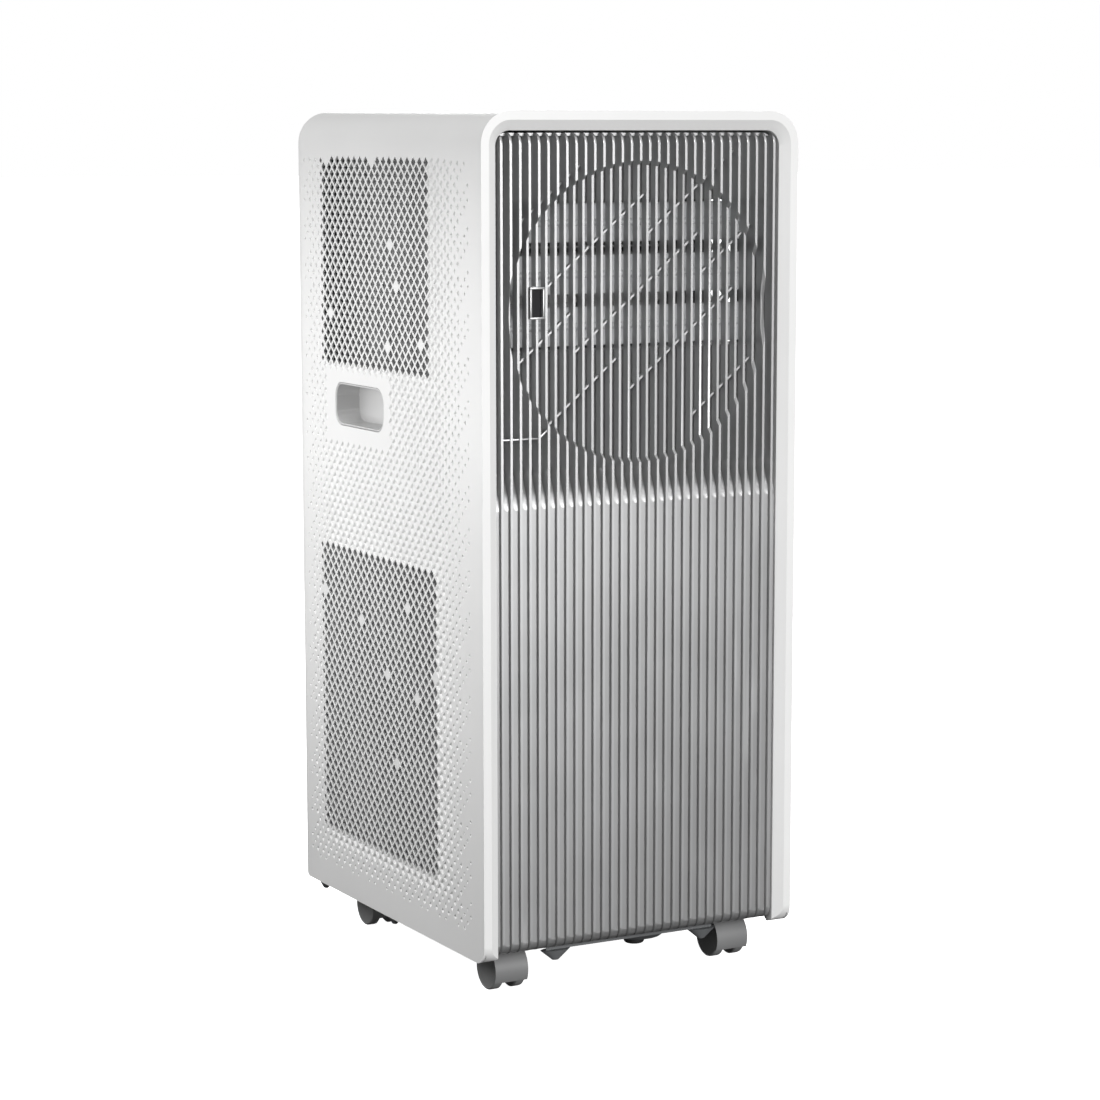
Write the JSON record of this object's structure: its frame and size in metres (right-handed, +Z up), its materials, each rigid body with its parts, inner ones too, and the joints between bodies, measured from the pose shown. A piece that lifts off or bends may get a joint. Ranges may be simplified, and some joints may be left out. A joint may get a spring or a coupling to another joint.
{
  "type": "portable air conditioner",
  "caption": "Tall cabinet air conditioner on swivel casters, with a finned front outlet, hidden tilting louvres, perforated sides, slide-out filters and a rear exhaust collar.",
  "frame": {"origin": "on the floor under the middle of the cabinet's footprint", "axes": "+Z up, front grille faces -Y, +X to the right seen from the front"},
  "size_m": [0.3, 0.38, 0.735],
  "materials": {
    "cabinet_white": "satin",
    "grille_silver": "satin metallic paint",
    "louvre_grey": "satin",
    "window_black": "gloss",
    "panel_black": "gloss",
    "button_grey": "satin",
    "pan_grey": "matt",
    "caster_grey": "matt",
    "caster_black": "matt",
    "rubber_black": "matt",
    "coil_aluminium": "bare fins",
    "copper": "bare tube",
    "compressor_black": "satin enamel",
    "zinc_steel": "zinc plated",
    "inner_plastic": "matt",
    "fan_black": "satin",
    "fan_grey": "satin",
    "pocket_grey": "satin",
    "board_green": "solder mask",
    "filter_grey": "matt"
  },
  "bodies": {
    "cabinet": {"accumulator": "compressor_black", "base_pan": "pan_grey", "caster_sockets": "pan_grey", "compressor": "compressor_black", "compressor_grommets": "rubber_black", "condenser_coil": "coil_aluminium", "condenser_fan_motor": "zinc_steel", "condenser_fan_scroll": "inner_plastic", "control_panel": "panel_black", "cord_gland": "rubber_black", "discharge_pipe": "copper", "display_lens": "window_black", "drip_tray": "inner_plastic", "electrical_box": "zinc_steel", "evaporator_coil": "coil_aluminium", "evaporator_fan_bearing": "rubber_black", "evaporator_fan_casing": "inner_plastic", "evaporator_fan_motor": "zinc_steel", "exhaust_collar": "pan_grey", "exhaust_duct": "inner_plastic", "filter_rails": "inner_plastic", "front_frame": "cabinet_white", "front_grille": "grille_silver", "key_board": "board_green", "left_handle_cup": "pocket_grey", "left_side_panel": "cabinet_white", "liquid_pipe": "copper", "louvre_frame": "inner_plastic", "louvre_motor": "zinc_steel", "main_board": "board_green", "rear_panel": "cabinet_white", "rear_screws": "zinc_steel", "receiver_window": "window_black", "return_bends": "copper", "right_handle_cup": "pocket_grey", "right_side_panel": "cabinet_white", "run_capacitor": "zinc_steel", "suction_pipe": "copper", "top_cover": "cabinet_white"},
    "louvre_1": {"louvre_blade_1": "louvre_grey"},
    "louvre_2": {"louvre_blade_2": "louvre_grey"},
    "louvre_3": {"louvre_blade_3": "louvre_grey"},
    "louvre_link": {"louvre_link": "louvre_grey"},
    "evaporator_fan": {"evaporator_fan_wheel": "fan_grey"},
    "condenser_fan": {"condenser_fan_wheel": "fan_black"},
    "caster_front_left": {"caster_fork_front_left": "caster_grey"},
    "wheels_front_left": {"caster_wheels_front_left": "caster_black"},
    "caster_front_right": {"caster_fork_front_right": "caster_grey"},
    "wheels_front_right": {"caster_wheels_front_right": "caster_black"},
    "caster_rear_left": {"caster_fork_rear_left": "caster_grey"},
    "wheels_rear_left": {"caster_wheels_rear_left": "caster_black"},
    "caster_rear_right": {"caster_fork_rear_right": "caster_grey"},
    "wheels_rear_right": {"caster_wheels_rear_right": "caster_black"},
    "filter_left": {"left_intake_filter": "filter_grey"},
    "filter_right": {"right_intake_filter": "filter_grey"},
    "drain_plug": {"drain_plug": "rubber_black"},
    "power_button": {"power_button": "button_grey"},
    "mode_button": {"mode_button": "button_grey"},
    "fan_speed_button": {"fan_speed_button": "button_grey"},
    "timer_button": {"timer_button": "button_grey"}
  },
  "joints": [
    {"name": "louvre_1_tilt", "type": "hinge", "parent": "cabinet", "child": "louvre_1", "pos_m": [0, -0.153, 0.5585], "axis": [1, 0, 0], "range_deg": [0, 75]},
    {"name": "louvre_2_tilt", "type": "hinge", "parent": "cabinet", "child": "louvre_2", "pos_m": [0, -0.153, 0.60125], "axis": [1, 0, 0], "range_deg": [0, 75]},
    {"name": "louvre_3_tilt", "type": "hinge", "parent": "cabinet", "child": "louvre_3", "pos_m": [0, -0.153, 0.644], "axis": [1, 0, 0], "range_deg": [0, 75]},
    {"name": "louvre_link_pivot", "type": "hinge", "parent": "louvre_1", "child": "louvre_link", "pos_m": [0.1246, -0.143, 0.5585], "axis": [1, 0, 0], "range_deg": [-75, 0]},
    {"name": "evaporator_fan_spin", "type": "hinge", "parent": "cabinet", "child": "evaporator_fan", "pos_m": [-0.016, -0.072, 0.606], "axis": [1, 0, 0], "continuous": true},
    {"name": "condenser_fan_spin", "type": "hinge", "parent": "cabinet", "child": "condenser_fan", "pos_m": [-0.015, -0.12, 0.192], "axis": [0, 1, 0], "continuous": true},
    {"name": "caster_front_left_swivel", "type": "hinge", "parent": "cabinet", "child": "caster_front_left", "pos_m": [-0.109, -0.15, 0.045], "axis": [0, 0, 1], "continuous": true},
    {"name": "wheels_front_left_roll", "type": "hinge", "parent": "caster_front_left", "child": "wheels_front_left", "pos_m": [-0.109, -0.141, 0.018], "axis": [1, 0, 0], "continuous": true},
    {"name": "caster_front_right_swivel", "type": "hinge", "parent": "cabinet", "child": "caster_front_right", "pos_m": [0.109, -0.15, 0.045], "axis": [0, 0, 1], "continuous": true},
    {"name": "wheels_front_right_roll", "type": "hinge", "parent": "caster_front_right", "child": "wheels_front_right", "pos_m": [0.109, -0.141, 0.018], "axis": [1, 0, 0], "continuous": true},
    {"name": "caster_rear_left_swivel", "type": "hinge", "parent": "cabinet", "child": "caster_rear_left", "pos_m": [-0.109, 0.092, 0.045], "axis": [0, 0, 1], "continuous": true},
    {"name": "wheels_rear_left_roll", "type": "hinge", "parent": "caster_rear_left", "child": "wheels_rear_left", "pos_m": [-0.109, 0.101, 0.018], "axis": [1, 0, 0], "continuous": true},
    {"name": "caster_rear_right_swivel", "type": "hinge", "parent": "cabinet", "child": "caster_rear_right", "pos_m": [0.109, 0.092, 0.045], "axis": [0, 0, 1], "continuous": true},
    {"name": "wheels_rear_right_roll", "type": "hinge", "parent": "caster_rear_right", "child": "wheels_rear_right", "pos_m": [0.109, 0.101, 0.018], "axis": [1, 0, 0], "continuous": true},
    {"name": "filter_left_slide", "type": "slide", "parent": "cabinet", "child": "filter_left", "axis": [0, 1, 0], "range_m": [0, 0.26]},
    {"name": "filter_right_slide", "type": "slide", "parent": "cabinet", "child": "filter_right", "axis": [0, 1, 0], "range_m": [0, 0.26]},
    {"name": "drain_plug_pull", "type": "slide", "parent": "cabinet", "child": "drain_plug", "axis": [0, 0, -1], "range_m": [0, 0.009]},
    {"name": "power_button_press", "type": "slide", "parent": "cabinet", "child": "power_button", "axis": [0, 0, 1], "range_m": [-0.0015, 0], "stiffness_N_per_m": 500, "springref_m": 0.0004},
    {"name": "mode_button_press", "type": "slide", "parent": "cabinet", "child": "mode_button", "axis": [0, 0, 1], "range_m": [-0.0015, 0], "stiffness_N_per_m": 500, "springref_m": 0.0004},
    {"name": "fan_speed_button_press", "type": "slide", "parent": "cabinet", "child": "fan_speed_button", "axis": [0, 0, 1], "range_m": [-0.0015, 0], "stiffness_N_per_m": 500, "springref_m": 0.0004},
    {"name": "timer_button_press", "type": "slide", "parent": "cabinet", "child": "timer_button", "axis": [0, 0, 1], "range_m": [-0.0015, 0], "stiffness_N_per_m": 500, "springref_m": 0.0004}
  ],
  "couplings": [
    {"joint": "louvre_2_tilt", "follows": "louvre_1_tilt", "ratio": 1},
    {"joint": "louvre_3_tilt", "follows": "louvre_1_tilt", "ratio": 1},
    {"joint": "louvre_link_pivot", "follows": "louvre_1_tilt", "ratio": -1}
  ]
}
